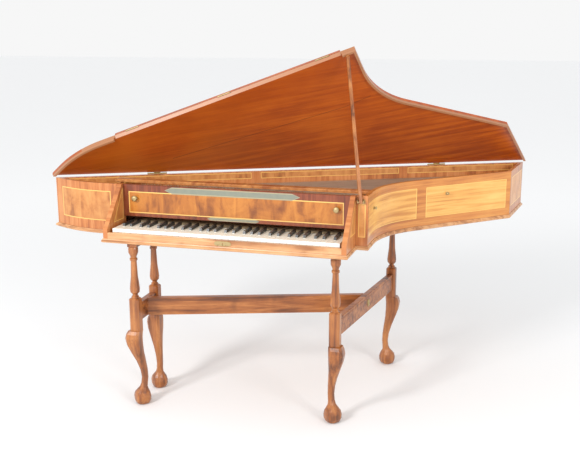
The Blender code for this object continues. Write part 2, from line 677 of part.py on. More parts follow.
def key_mesh(key):
    kind, n, left, right, tail_left, tail_right = key
    gap = KEY_CLEARANCE / 2
    low = KEY_TOP - KEY_THICKNESS
    lever_top = KEY_TOP - 0.0020
    a, b = tail_left + gap, tail_right - gap
    if kind == "natural":
        plan = [(left + gap, 0), (right - gap, 0), (right - gap, HEAD_LENGTH), (b, HEAD_LENGTH),
                (b, NAMEBOARD_FRONT_Y), (a, NAMEBOARD_FRONT_Y), (a, HEAD_LENGTH), (left + gap, HEAD_LENGTH)]
        rings = [[(x, y, z) for x, y in plan] for z in (low, KEY_TOP)]
        top = loft(rings)
        lever = box(a, b, NAMEBOARD_FRONT_Y - 0.004, KEY_BACK_Y, low, lever_top)
        return union(top, lever)
    lever = box(a, b, HEAD_LENGTH + 0.001, KEY_BACK_Y, low, lever_top)
    slope = 0.004
    foot, crown = (left, right), (left + 0.0008, right - 0.0008)
    top_z = KEY_TOP + SHARP_HEIGHT
    front, back = HEAD_LENGTH + 0.002, HEAD_LENGTH + SHARP_LENGTH
    block = loft([[(foot[0], front, lever_top - 0.001), (foot[1], front, lever_top - 0.001),
                   (foot[1], back, lever_top - 0.001), (foot[0], back, lever_top - 0.001)],
                  [(crown[0], front + slope, top_z - 0.001), (crown[1], front + slope, top_z - 0.001),
                   (crown[1], back, top_z), (crown[0], back, top_z)]])
    return union(lever, block)


def jack_plan(x, grow=0.0):
    along = SPINE_DIRECTION * (JACK_WIDTH / 2 + grow)
    across = Vector((-SPINE_DIRECTION.y, SPINE_DIRECTION.x)) * (JACK_THICKNESS / 2 + grow)
    middle = Vector((x, JACK_Y))
    return [middle - along - across, middle + along - across, middle + along + across, middle - along + across]


def jack_mesh(x):
    """Wooden body with the slot of its tongue open at the top and a damper notch beside it."""
    low = KEY_TOP - 0.0020 + GAP
    top = CASE_TOP - JACK_TOP_BELOW_CASE
    body = prism(jack_plan(x), low, top)
    along = SPINE_DIRECTION * 0.0020
    across = Vector((-SPINE_DIRECTION.y, SPINE_DIRECTION.x)) * 0.004
    middle = Vector((x, JACK_Y))
    slot = [middle - along - across, middle + along - across, middle + along + across, middle - along + across]
    return cut(body, prism(slot, top - 0.022, top + 0.01))


def build_action(lime, ivory, ebony, jack_wood, guide_wood):
    keys = key_plan()
    centres = [(k[4] + k[5]) / 2 for k in keys]
    played = [i for i, k in enumerate(keys)
              if PLAYED_FIRST <= k[1] < PLAYED_FIRST + PLAYED_NATURALS and not
              (k[0] == "sharp" and k[1] == PLAYED_FIRST + PLAYED_NATURALS - 1)]
    low = KEY_TOP - KEY_THICKNESS
    rail_top = low - GAP
    base = FLOOR_TOP + GAP
    first, last = played[0], played[-1]
    left_x, right_x = LEFT_CHEEK_IN + GAP, RIGHT_CHEEK_IN - GAP
    half = BALANCE_RAIL_WIDTH / 2

    frame = box(left_x, right_x, 0.004, KEY_BACK_Y, base, base + 0.006)
    front_rail = box(left_x, right_x, 0.006, 0.026, base + 0.005, rail_top - 0.0105)
    ridge = [(BALANCE_Y - half, base + 0.005), (BALANCE_Y + half, base + 0.005), (BALANCE_Y + half, rail_top - 0.0015),
             (BALANCE_Y + 0.003, rail_top), (BALANCE_Y - 0.003, rail_top), (BALANCE_Y - half, rail_top - 0.0015)]
    balance = loft([[(x, y, z) for y, z in ridge] for x in (left_x, right_x)])
    back = box(left_x, right_x, KEY_BACK_Y - 0.016, KEY_BACK_Y - 0.001, base + 0.005, rail_top)
    node("key_frame", union(frame, front_rail, balance, back), lime)

    names = {}
    note = ["g", "a", "b", "c", "d", "e", "f"]
    for i in played:
        kind, n = keys[i][0], keys[i][1]
        letter = note[n % 7]
        names[i] = letter + ("_sharp" if kind == "sharp" else "")
        mat = ebony if kind == "sharp" else ivory
        obj = node("key_" + names[i], key_mesh(keys[i]), mat)
        hang_on(obj, (centres[i], BALANCE_Y, low))
    for name, group in (("keys_bass", range(0, first)), ("keys_treble", range(last + 1, len(keys)))):
        group = list(group)
        x0 = keys[group[0]][4] + KEY_CLEARANCE
        x1 = keys[group[-1]][5] - KEY_CLEARANCE
        strip = box(x0, x1, BALANCE_Y - 0.005, BALANCE_Y + 0.005, low + 0.006, KEY_TOP - 0.0010)
        levers = merged([key_mesh(keys[i]) for i in group])
        node(name, union(strip, levers), ivory)

    guide_low = SOUNDBOARD_TOP - GUIDE_THICKNESS
    guide = common(box(GUIDE_LEFT_X, 2, GUIDE_FRONT_Y, GUIDE_BACK_Y, guide_low, SOUNDBOARD_TOP),
                   prism(inside_plan(GAP, 0), guide_low - 0.01, SOUNDBOARD_TOP + 0.01))
    slots = [prism(jack_plan(centres[i], JACK_SLOT_CLEARANCE), guide_low - 0.01, SOUNDBOARD_TOP + 0.01)
             for i in played]
    guide = cut(guide, merged(slots))
    still = [jack_mesh(centres[i]) for i in range(len(keys)) if i not in played]
    node("jack_guide", union(guide, merged(still)), guide_wood)
    for i in played:
        obj = node("jack_" + names[i], jack_mesh(centres[i]), jack_wood)
        hang_on(obj, (centres[i], JACK_Y, KEY_TOP))
    return centres


def build_jack_rail(veneer):
    half = JACK_RAIL_WIDTH / 2
    top = CASE_TOP - JACK_RAIL_BELOW_CASE
    low = top - JACK_RAIL_THICKNESS
    right = BENTSIDE_X - WALL - GAP
    left = GUIDE_LEFT_X + 0.004
    profile = [(JACK_Y - half, low), (JACK_Y + half, low), (JACK_Y + half, top - 0.002),
               (JACK_Y + half - 0.002, top), (JACK_Y - half + 0.003, top), (JACK_Y - half, top - 0.003)]
    rail = loft([[(x, y, z) for y, z in profile] for x in (left, right)])
    foot = SOUNDBOARD_TOP + GAP
    posts = [box(x, x + 0.018, JACK_Y - 0.012, JACK_Y + 0.012, foot, low + 0.002)
             for x in (left, KEY_SPAN + 0.014)]
    node("jack_rail", union(rail, merged(posts)), veneer)


def build_nameboard(veneer, brass):
    low = KEY_TOP + NAMEBOARD_LIFT
    top = CASE_TOP - NAMEBOARD_DROP
    x0, x1 = LEFT_CHEEK_IN + GAP, RIGHT_CHEEK_IN - GAP
    profile = [(NAMEBOARD_FRONT_Y, low), (NAMEBOARD_BACK_Y, low), (NAMEBOARD_BACK_Y, top),
               (NAMEBOARD_FRONT_Y + 0.001, top), (NAMEBOARD_FRONT_Y, top - 0.001)]
    node("nameboard", loft([[(x, y, z) for y, z in profile] for x in (x0, x1)]), veneer)
    for name, x in (("knob_left", x0 + KNOB_INSET), ("knob_right", x1 - KNOB_INSET)):
        knob = turned([(GAP, 0.0075), (0.002, 0.0070), (0.004, 0.0040), (0.008, 0.0040),
                       (0.011, KNOB_RADIUS - 0.001), (0.014, KNOB_RADIUS),
                       (0.017, KNOB_RADIUS - 0.002), (KNOB_LENGTH, 0.004)],
                      (x, NAMEBOARD_FRONT_Y, KNOB_HEIGHT), (0, -1, 0), 16)
        node(name, knob, brass)


# Lid

def lid_outline():
    """Plan of the lid's main board when it is down."""
    left = left_end_points()
    bent = bentside_points()
    bent[0] = Vector((BENTSIDE_X, LID_FRONT_Y + LID_OVERHANG))
    points = bent + [SPINE_RIGHT.copy()] + left
    reaches = [LID_OVERHANG] * (len(bent)) + [0.0] + [LID_OVERHANG] * (len(left) - 1) + [LID_OVERHANG]
    return points, reaches


def build_lid(wood, brass):
    points, reaches = lid_outline()
    outer = offset(points, reaches)
    board_low, board_top = CASE_TOP + GAP, CASE_TOP + LID_THICKNESS
    slack = 0.0005
    lean = tan(FLAP_SLOPE / 2)
    mitre = lean * LID_THICKNESS
    face = LID_FRONT_Y + slack
    wedge = loft([[(x, LID_FRONT_Y - 0.010, board_low - 0.001), (x, face + mitre + 0.001 * lean, board_low - 0.001),
                   (x, face - 0.002 * lean, board_top + 0.002), (x, LID_FRONT_Y - 0.010, board_top + 0.002)]
                  for x in (FLAP_LEFT_X - 0.001, FLAP_RIGHT_X + 0.001)])
    inside = offset(points, [r - LIP_WIDTH if r else 0.02 for r in reaches])
    hollow = prism(inside, CASE_TOP - LIP_DROP - 0.01, board_low)
    along_spine = [Vector((-0.6, 0.0)), Vector((2.2, 0.0)), Vector((2.2, 0.3)), Vector((-0.6, 0.3))]
    turn = Matrix.Rotation(SPINE_ANGLE, 2)
    inset = SPINE_LEFT - OUTWARD * 0.004
    spine_strip = prism([inset + turn @ p for p in along_spine], CASE_TOP - 0.03, board_low)
    flap_bay = box(FLAP_LEFT_X - 0.004, FLAP_RIGHT_X + 0.004, 0.0, LID_FRONT_Y + 0.020,
                   CASE_TOP - 0.03, board_low)
    board = cut(prism(outer, CASE_TOP - LIP_DROP, board_top), union(hollow, spine_strip, flap_bay))
    hinge_places = (("left", 0.045), ("middle", 0.415), ("right", 0.790))
    half = FLAP_HINGE_LENGTH / 2
    seat = FLAP_BARREL + GAP
    seats = merged([box(x - half - GAP, x + half + GAP, LID_FRONT_Y - seat, LID_FRONT_Y + seat,
                        FLAP_PIN_Z - seat, FLAP_PIN_Z + seat) for name, x in hinge_places])
    mesh = cut(cut(board, wedge), seats)
    turn_about(mesh, LID_PIN, LID_AXIS, -LID_OPEN)
    hang_on(node("lid", mesh, wood), LID_PIN)

    low, top = FLAP_PIN_Z + FLAP_PIN_ABOVE, FLAP_PIN_Z + FLAP_PIN_ABOVE + LID_THICKNESS
    back = LID_FRONT_Y + FLAP_WIDTH
    profile = [(LID_FRONT_Y + slack, low), (back - 0.002, low), (back, low + 0.003), (back, top - 0.003),
               (back - 0.002, top), (LID_FRONT_Y + slack + mitre, top)]
    flap = cut(loft([[(x, y, z) for y, z in profile] for x in (FLAP_LEFT_X, FLAP_RIGHT_X)]), seats.copy())
    turn_about(flap, LID_PIN, LID_AXIS, -LID_OPEN)
    pin = Matrix.Translation(LID_PIN) @ Matrix.Rotation(-LID_OPEN, 4, LID_AXIS) @ Matrix.Translation(-LID_PIN)
    hang_on(node("flap", flap, wood), pin @ Vector((FLAP_LEFT_X, LID_FRONT_Y, FLAP_PIN_Z)))

    for name, x in hinge_places:
        barrel = turned([(-half, FLAP_BARREL), (half, FLAP_BARREL)], (x, LID_FRONT_Y, FLAP_PIN_Z), (1, 0, 0), 18)
        leaf = box(x - half, x + half, LID_FRONT_Y, LID_FRONT_Y + FLAP_LEAF_WIDTH,
                   FLAP_PIN_Z - FLAP_PIN_ABOVE + GAP, FLAP_PIN_Z + FLAP_PIN_ABOVE - 0.0002)
        hinge = turn_about(union(barrel, leaf), LID_PIN, LID_AXIS, -LID_OPEN)
        hang_on(node("flap_hinge_" + name, hinge, brass), LID_PIN)

    for name, place in (("left", 0.20), ("right", 0.80)):
        spot = SPINE_LEFT + SPINE_DIRECTION * SPINE_LENGTH * place
        node("hinge_leaf_" + name, hinge_leaf(spot, -1, 0.034), brass)
        leaf = turn_about(hinge_leaf(spot, 1, 0.0125), LID_PIN, LID_AXIS, -LID_OPEN)
        hang_on(node("lid_leaf_" + name, leaf, brass), LID_PIN)


def hinge_leaf(spot, up, plate):
    """Leaf of a lid hinge: the lower one keeps the outer knuckles, the upper one the middle."""
    turn = [(HINGE_BARREL * cos(a), HINGE_BARREL * sin(a))
            for a in (radians(-90 + 290 * i / 10) for i in range(11))]
    profile = [(GAP, plate), (GAP + LEAF, plate), (GAP + LEAF, HINGE_BARREL)]
    profile += [(LID_HINGE_OFFSET + x, -z) for x, z in turn] + [(GAP, 0.0012)]

    def solid(low, high):
        rings = []
        for along in (low, high):
            base = spot + SPINE_DIRECTION * along
            rings.append([(*(base + OUTWARD * out), CASE_TOP + up * z) for out, z in profile])
        return loft(rings)

    def notch(low, high):
        corners = [spot + SPINE_DIRECTION * a + OUTWARD * o
                   for a, o in ((low, GAP + LEAF + 0.0005), (high, GAP + LEAF + 0.0005), (high, 0.03), (low, 0.03))]
        return prism(corners, CASE_TOP - 0.02, CASE_TOP + 0.02)

    half, third = HINGE_LENGTH / 2, HINGE_LENGTH / 6
    if up < 0:
        return cut(solid(-half, half), notch(-third - GAP, third + GAP))
    return cut(solid(-half, half), notch(-half - 0.01, -third), notch(third, half + 0.01))


def prop_line():
    """Foot, tip, in the plane square to the spine: distance from the lid's pins, height over the case."""
    distance = (Vector(PROP_FOOT[:2]) - Vector(LID_PIN[:2])).dot(-OUTWARD)
    reach, drop = distance + 0.006, LIP_DROP + GAP
    foot = Vector((distance, PROP_FOOT.z - CASE_TOP))
    tip = Vector((cos(LID_OPEN) * reach + sin(LID_OPEN) * drop, sin(LID_OPEN) * reach - cos(LID_OPEN) * drop))
    return foot, tip


def build_prop(wood, brass):
    """Stick from the bracket on the return to the lip of the open lid."""
    foot, tip = prop_line()
    distance = foot.x
    line = (tip - foot).normalized()
    length = (tip - foot).length
    side = Vector((-line.y, line.x))
    half_w, half_t = PROP_WIDTH / 2, PROP_THICKNESS / 2
    mesh = []
    for s in (-half_w, half_w):
        ring = []
        for along, across in ((-0.0055, -half_t), (length - 0.008, -half_t), (length - 0.0002, 0.0),
                              (length - 0.008, half_t), (-0.0055, half_t)):
            p = foot + line * along + side * across
            flat = (p.x - distance) * -OUTWARD + Vector(PROP_FOOT[:2]) + SPINE_DIRECTION * s
            ring.append((flat.x, flat.y, CASE_TOP + p.y))
        mesh.append(ring)
    stick = loft(mesh)
    axis = Vector((SPINE_DIRECTION.x, SPINE_DIRECTION.y, 0))
    bore = turned([(-0.02, 0.0020), (0.02, 0.0020)], PROP_FOOT, axis, 12)
    stick = cut(stick, bore)
    hang_on(node("prop_stick", stick, wood), PROP_FOOT)

    pin = turned([(-0.0120, 0.0017), (0.0120, 0.0017)], PROP_FOOT, axis, 12)
    ears = []
    for sign in (-1, 1):
        centre = Vector((PROP_FOOT.x, PROP_FOOT.y)) + SPINE_DIRECTION * sign * 0.0115
        side = SPINE_DIRECTION * 0.0012
        a = centre - side
        b = centre + side
        ears.append(prism([(a.x, PROP_FOOT.y - 0.003), (b.x, PROP_FOOT.y - 0.003),
                           (b.x, RETURN_Y - GAP), (a.x, RETURN_Y - GAP)],
                          PROP_FOOT.z - 0.005, PROP_FOOT.z + 0.005))
    plate = box(PROP_FOOT.x - 0.0135, PROP_FOOT.x + 0.0135, RETURN_Y - GAP - 0.0015, RETURN_Y - GAP,
                PROP_FOOT.z - 0.007, PROP_FOOT.z + 0.007)
    node("prop_bracket", union(plate, ears[0], ears[1], pin), brass)


def stand_on_front_left_foot():
    foot = FRONT_LEFT + Vector((-1, -1)).normalized() * -0.012
    for obj in bpy.context.scene.objects:
        if obj.parent is None:
            obj.location -= Vector((foot.x, foot.y, 0))


def build():
    clear_scene()
    walnut = material("veneered walnut", (0.42, 0.17, 0.055), 0.32)
    mahogany = material("lid mahogany", (0.40, 0.11, 0.030), 0.30)
    stand_wood = material("stand walnut", (0.30, 0.12, 0.045), 0.36)
    pine = material("pine", (0.62, 0.45, 0.27), 0.6)
    spruce = material("soundboard spruce", (0.66, 0.54, 0.38), 0.6)
    beech = material("beech", (0.48, 0.30, 0.16), 0.55)
    lime = material("limewood", (0.64, 0.50, 0.33), 0.6)
    pear = material("pearwood", (0.45, 0.27, 0.16), 0.5)
    ivory = material("ivory", (0.86, 0.80, 0.66), 0.3)
    ebony = material("ebony", (0.015, 0.013, 0.012), 0.3)
    brass = material("brass", (0.70, 0.50, 0.22), 0.3, 1.0)
    build_stand(stand_wood, brass)
    build_case(walnut, pine, brass)
    build_soundboard(spruce, beech, brass)
    centres = build_action(lime, ivory, ebony, pear, beech)
    build_wrestplank(beech, brass, centres)
    build_jack_rail(walnut)
    build_nameboard(walnut, brass)
    build_lid(mahogany, brass)
    build_prop(stand_wood, brass)
    stand_on_front_left_foot()


build()
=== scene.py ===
import math

import bpy
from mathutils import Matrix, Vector


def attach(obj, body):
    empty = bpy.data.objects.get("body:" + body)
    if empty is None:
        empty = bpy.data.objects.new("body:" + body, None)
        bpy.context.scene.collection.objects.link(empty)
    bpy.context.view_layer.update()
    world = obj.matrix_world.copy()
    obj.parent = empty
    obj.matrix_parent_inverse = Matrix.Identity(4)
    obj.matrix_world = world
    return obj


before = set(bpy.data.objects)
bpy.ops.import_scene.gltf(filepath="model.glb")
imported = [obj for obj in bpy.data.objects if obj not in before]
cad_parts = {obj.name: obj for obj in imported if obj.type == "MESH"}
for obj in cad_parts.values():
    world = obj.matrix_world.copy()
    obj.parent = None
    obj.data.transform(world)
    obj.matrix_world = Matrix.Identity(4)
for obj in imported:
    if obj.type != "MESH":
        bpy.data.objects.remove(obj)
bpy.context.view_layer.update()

print("stage: frame loaded", len(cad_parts), "nodes")

# The row frame's origin seen from the keyboard's front left corner
shift = Vector((0.088485, 0.004485, 0.0))
caseTop = 0.798
keyTop = 0.6576
spineAngle = math.radians(27.57)
lidOpen = math.radians(48)
spineAlong = Vector((math.cos(spineAngle), math.sin(spineAngle), 0))
spineOut = Vector((-spineAlong.y, spineAlong.x, 0))
spineLeft = Vector((-0.324, 0.178, 0)) - shift
lidPin = spineLeft + spineOut * 0.010 + Vector((0, 0, caseTop))

colour = {
    "walnut": (0.50, 0.190, 0.050),
    "walnutDark": (0.25, 0.078, 0.020),
    "walnutLight": (0.66, 0.31, 0.095),
    "burr": (0.63, 0.255, 0.066),
    "burrDark": (0.34, 0.110, 0.028),
    "burrLight": (0.78, 0.40, 0.125),
    "crossband": (0.52, 0.175, 0.045),
    "crossbandDark": (0.32, 0.090, 0.025),
    "crossbandLight": (0.64, 0.270, 0.092),
    "amber": (0.60, 0.225, 0.050),
    "amberDark": (0.38, 0.115, 0.026),
    "amberLight": (0.72, 0.33, 0.080),
    "honey": (0.78, 0.39, 0.095),
    "honeyDark": (0.54, 0.21, 0.045),
    "honeyLight": (0.88, 0.54, 0.165),
    "inset": (0.45, 0.145, 0.018),
    "insetDark": (0.20, 0.050, 0.008),
    "insetLight": (0.60, 0.230, 0.034),
    "rosewood": (0.22, 0.045, 0.014),
    "rosewoodDark": (0.10, 0.020, 0.007),
    "rosewoodLight": (0.32, 0.080, 0.026),
    "boxwood": (0.92, 0.60, 0.16),
    "mahogany": (0.42, 0.074, 0.004),
    "mahoganyDark": (0.30, 0.047, 0.003),
    "mahoganyLight": (0.54, 0.118, 0.007),
    "mahoganyGold": (0.46, 0.125, 0.008),
    "seam": (0.05, 0.016, 0.006),
    "lip": (0.40, 0.19, 0.09),
    "stand": (0.31, 0.094, 0.020),
    "standDark": (0.085, 0.024, 0.008),
    "standLight": (0.50, 0.190, 0.050),
    "slip": (0.60, 0.29, 0.12),
    "slipDark": (0.30, 0.110, 0.036),
    "slipLight": (0.74, 0.43, 0.21),
    "ivory": (0.90, 0.85, 0.74),
    "ivoryFront": (0.93, 0.92, 0.90),
    "ebony": (0.012, 0.010, 0.009),
    "lime": (0.56, 0.42, 0.25),
    "spruce": (0.52, 0.43, 0.33),
    "spruceDark": (0.34, 0.26, 0.18),
    "brass": (0.50, 0.38, 0.19),
    "brassDark": (0.14, 0.09, 0.045),
    "plaque": (0.26, 0.265, 0.20),
    "steel": (0.42, 0.41, 0.40),
}


# Short calls for adding nodes to a node tree
class Tree:
    def __init__(self, tree):
        self.tree = tree

    def node(self, kind, inputs=(), **settings):
        made = self.tree.nodes.new(kind)
        for name, value in settings.items():
            setattr(made, name, value)
        for key, value in dict(inputs).items():
            self.put(made.inputs[key], value)
        return made

    def put(self, socket, value):
        if isinstance(value, bpy.types.NodeSocket):
            self.tree.links.new(value, socket)
        elif isinstance(value, tuple) and len(value) == 3 and socket.type == "RGBA":
            socket.default_value = (*value, 1)
        else:
            socket.default_value = value

    def math(self, operation, a, b=0.0, c=0.0):
        return self.node("ShaderNodeMath", {0: a, 1: b, 2: c}, operation=operation).outputs[0]

    def mix(self, factor, a, b):
        made = self.node("ShaderNodeMix", data_type="RGBA")
        self.put(made.inputs[0], factor)
        self.put(made.inputs[6], a)
        self.put(made.inputs[7], b)
        return made.outputs[2]

    def smooth(self, value, low, high):
        made = self.node("ShaderNodeMapRange", {"Value": value, "From Min": low, "From Max": high},
                         interpolation_type="SMOOTHSTEP")
        return made.outputs[0]

    def noise(self, vector, scale, detail=4.0, rough=0.55, distort=0.0):
        made = self.node("ShaderNodeTexNoise", {"Vector": vector, "Scale": scale, "Detail": detail,
                                                "Roughness": rough, "Distortion": distort})
        return made.outputs[0]

    def place(self, vector, scale=(1, 1, 1), turn=(0, 0, 0), move=(0, 0, 0)):
        return self.node("ShaderNodeMapping", {"Vector": vector, "Location": Vector(move),
                                               "Rotation": Vector(turn), "Scale": Vector(scale)}).outputs[0]

    def ramp(self, factor, stops):
        made = self.node("ShaderNodeValToRGB", {"Fac": factor})
        elements = made.color_ramp.elements
        while len(elements) < len(stops):
            elements.new(0.5)
        for element, (place, tint) in zip(elements, stops):
            element.position = place
            element.color = (*tint, 1)
        return made.outputs[0]


def makeGroup(name, inputs, outputs, build):
    group = bpy.data.node_groups.new(name, "ShaderNodeTree")
    for label, kind, value in inputs:
        socket = group.interface.new_socket(label, in_out="INPUT", socket_type="NodeSocket" + kind)
        if value is not None:
            socket.default_value = value
    for label, kind in outputs:
        group.interface.new_socket(label, in_out="OUTPUT", socket_type="NodeSocket" + kind)
    tree = Tree(group)
    source = tree.node("NodeGroupInput")
    sink = tree.node("NodeGroupOutput")
    build(tree, source.outputs, sink.inputs)
    return group


# Long streaks with pores: the vector's X runs along the grain, in metres
def grainInside(t, given, out):
    along = t.place(given["Vector"], (3.0, 55.0, 55.0))
    wide = t.noise(along, 1.0, 5, 0.6, 0.6)
    fine = t.noise(t.place(given["Vector"], (25.0, 900.0, 900.0)), 1.0, 3, 0.6)
    cloud = t.noise(given["Vector"], 5.0, 3, 0.5, 0.3)
    tone = t.math("ADD", t.math("MULTIPLY", wide, 0.62), t.math("MULTIPLY", cloud, 0.38))
    t.put(out["Tone"], t.smooth(tone, 0.33, 0.67))
    t.put(out["Pores"], t.smooth(fine, 0.36, 0.50))


# Swirling figure of burr veneer with small eyes
def burrInside(t, given, out):
    swirl = t.noise(given["Vector"], 9.0, 6, 0.62, 1.1)
    feather = t.noise(t.place(given["Vector"], (26.0, 26.0, 6.0)), 1.0, 5, 0.6, 0.8)
    eyes = t.node("ShaderNodeTexVoronoi", {"Vector": given["Vector"], "Scale": 38.0}).outputs[0]
    tone = t.math("ADD", t.math("MULTIPLY", swirl, 0.5), t.math("MULTIPLY", feather, 0.5))
    t.put(out["Tone"], t.smooth(tone, 0.30, 0.68))
    t.put(out["Pores"], t.smooth(eyes, 0.05, 0.22))


vectorIn = [("Vector", "Vector", None)]
toneOut = [("Tone", "Float"), ("Pores", "Float")]
grainGroup = makeGroup("longGrain", vectorIn, toneOut, grainInside)
burrGroup = makeGroup("burrFigure", vectorIn, toneOut, burrInside)


# Distance outside a rectangle's edge, negative inside it
def rectangleInside(t, given, out):
    sides = []
    for axis in "UV":
        fromCentre = t.math("ABSOLUTE", t.math("SUBTRACT", given[axis], given["Centre " + axis]))
        sides.append(t.math("SUBTRACT", fromCentre, given["Half " + axis]))
    t.put(out["Distance"], t.math("MAXIMUM", *sides))


rectangleGroup = makeGroup(
    "rectangleDistance",
    [(label, "Float", 0.0) for label in ("U", "V", "Centre U", "Half U", "Centre V", "Half V")],
    [("Distance", "Float")], rectangleInside)


def useGroup(t, group, **inputs):
    made = t.node("ShaderNodeGroup", node_tree=group)
    for label, value in inputs.items():
        t.put(made.inputs[label.replace("_", " ")], value)
    return made.outputs


def startMaterial(name):
    made = bpy.data.materials.new(name)
    made.use_nodes = True
    t = Tree(made.node_tree)
    shader = made.node_tree.nodes["Principled BSDF"]
    spot = t.node("ShaderNodeTexCoord").outputs["Object"]
    return made, t, shader, spot


def finishShader(t, shader, tint, rough, bumpHeight=None, bump=0.05, coat=0.25, metallic=0.0):
    t.put(shader.inputs["Base Color"], tint)
    t.put(shader.inputs["Roughness"], rough)
    t.put(shader.inputs["Metallic"], metallic)
    shader.inputs["Coat Weight"].default_value = coat
    shader.inputs["Coat Roughness"].default_value = 0.16
    if bumpHeight is not None:
        relief = t.node("ShaderNodeBump", {"Height": bumpHeight, "Strength": bump, "Distance": 0.002})
        t.put(shader.inputs["Normal"], relief.outputs[0])


# The dark, middle and light tone of a wood
def tones(wood):
    return colour[wood + "Dark"], colour[wood], colour[wood + "Light"]


# Colour of long-grained wood, and its pores as a height
def grainColour(t, vector, dark, middle, light):
    figure = useGroup(t, grainGroup, Vector=vector)
    tint = t.ramp(figure["Tone"], [(0.0, dark), (0.45, middle), (1.0, light)])
    pitted = t.math("MULTIPLY", t.math("SUBTRACT", 1.0, figure["Pores"]), 0.35)
    return t.mix(pitted, tint, dark), figure["Pores"]


# Veneered wall: burr or figured panels, boxwood stringing round them, crossbanding outside
def panelWall(name, along, panels, vertical=True, lines=0.0016, plaques=(), band="crossband", inner="burr",
              slope=None, figured=True):
    made, t, shader, spot = startMaterial(name)
    parts = t.node("ShaderNodeSeparateXYZ", {0: spot}).outputs
    u = t.math("ADD", t.math("MULTIPLY", parts[0], along[0]), t.math("MULTIPLY", parts[1], along[1]))
    distance = None
    for lowU, highU, lowV, highV in panels:
        one = useGroup(t, rectangleGroup, U=u, V=parts[2],
                       Centre_U=(lowU + highU) / 2, Half_U=(highU - lowU) / 2,
                       Centre_V=(lowV + highV) / 2, Half_V=(highV - lowV) / 2)["Distance"]
        distance = one if distance is None else t.math("MINIMUM", distance, one)
    if slope:
        (startU, startV), (endU, endV) = slope
        run = math.hypot(endU - startU, endV - startV)
        rise = t.math("MULTIPLY", t.math("SUBTRACT", parts[2], startV), (endU - startU) / run)
        reach = t.math("MULTIPLY", t.math("SUBTRACT", u, startU), (endV - startV) / run)
        distance = t.math("MAXIMUM", distance, t.math("SUBTRACT", rise, reach))
    flat = t.node("ShaderNodeCombineXYZ", {0: u, 1: 0.0, 2: parts[2]}).outputs[0]
    figure = useGroup(t, burrGroup if figured else grainGroup, Vector=flat)
    dark, middle, light = tones(inner)
    panel = t.ramp(figure["Tone"], [(0.0, dark), (0.42, middle), (1.0, light)])
    panel = t.mix(t.math("MULTIPLY", t.math("SUBTRACT", 1.0, figure["Pores"]), 0.2), panel, dark)
    turned = t.place(flat, turn=(0, math.pi / 2, 0)) if vertical else flat
    outside, pores = grainColour(t, turned, *tones(band))
    tint = t.mix(t.smooth(distance, -0.0003, 0.0003), panel, outside)
    line = t.smooth(t.math("ABSOLUTE", distance), lines, lines * 0.7)
    box = t.mix(t.math("MULTIPLY", figure["Tone"], 0.35), colour["boxwood"], colour["walnutLight"])
    tint = t.mix(line, tint, box)
    for centreU, halfU, centreV, halfV, point in plaques:
        level = t.math("ABSOLUTE", t.math("SUBTRACT", parts[2], centreV))
        side = t.math("SUBTRACT", t.math("ABSOLUTE", t.math("SUBTRACT", u, centreU)), halfU)
        tip = t.math("ADD", side, t.math("MULTIPLY", level, point / halfV))
        edge = t.math("MAXIMUM", t.math("SUBTRACT", level, halfV), t.math("SUBTRACT", tip, point))
        mask = t.smooth(edge, 0.0004, -0.0004)
        rim = t.smooth(t.math("ABSOLUTE", t.math("ADD", edge, 0.0025)), 0.0009, 0.0005)
        paint = t.mix(t.math("MULTIPLY", t.noise(flat, 60.0, 4), 0.5), colour["plaque"], (0.13, 0.15, 0.13))
        paint = t.mix(rim, paint, (0.55, 0.42, 0.20))
        tint = t.mix(mask, tint, paint)
    wear = t.noise(spot, 9.0, 4)
    rough = t.math("ADD", 0.24, t.math("MULTIPLY", wear, 0.2))
    finishShader(t, shader, tint, rough, pores, 0.06)
    return made


# Wood with its grain along the turned X axis
def plainWood(name, shades, turn=(0, 0, 0), rough=0.3, bump=0.08, coat=0.2, scale=1.0):
    made, t, shader, spot = startMaterial(name)
    vector = t.place(spot, (scale, scale, scale), turn)
    tint, pores = grainColour(t, vector, *[colour[paintedShadow] for paintedShadow in shades])
    handled = t.noise(spot, 14.0, 4)
    tint = t.mix(t.math("MULTIPLY", t.smooth(handled, 0.55, 0.75), 0.35), tint, colour[shades[0]])
    finishShader(t, shader, tint, t.math("ADD", rough, t.math("MULTIPLY", handled, 0.18)), pores, bump, coat)
    return made


def metal(name, bright, dark, rough=0.28):
    made, t, shader, spot = startMaterial(name)
    stain = t.noise(spot, 90.0, 5, 0.65)
    tint = t.mix(t.smooth(stain, 0.52, 0.72), colour[bright], colour[dark])
    finishShader(t, shader, tint, t.math("ADD", rough, t.math("MULTIPLY", stain, 0.25)), stain, 0.1, 0.0, 1.0)
    return made


# Seams of the lid's boards, as end points in the plane of the closed lid
lidSeams = (((0.016, 0.309), (0.701, 0.362)),
            ((0.701, 0.362), (0.806, 0.352)),
            ((0.664, 0.704), (0.993, 0.879)))


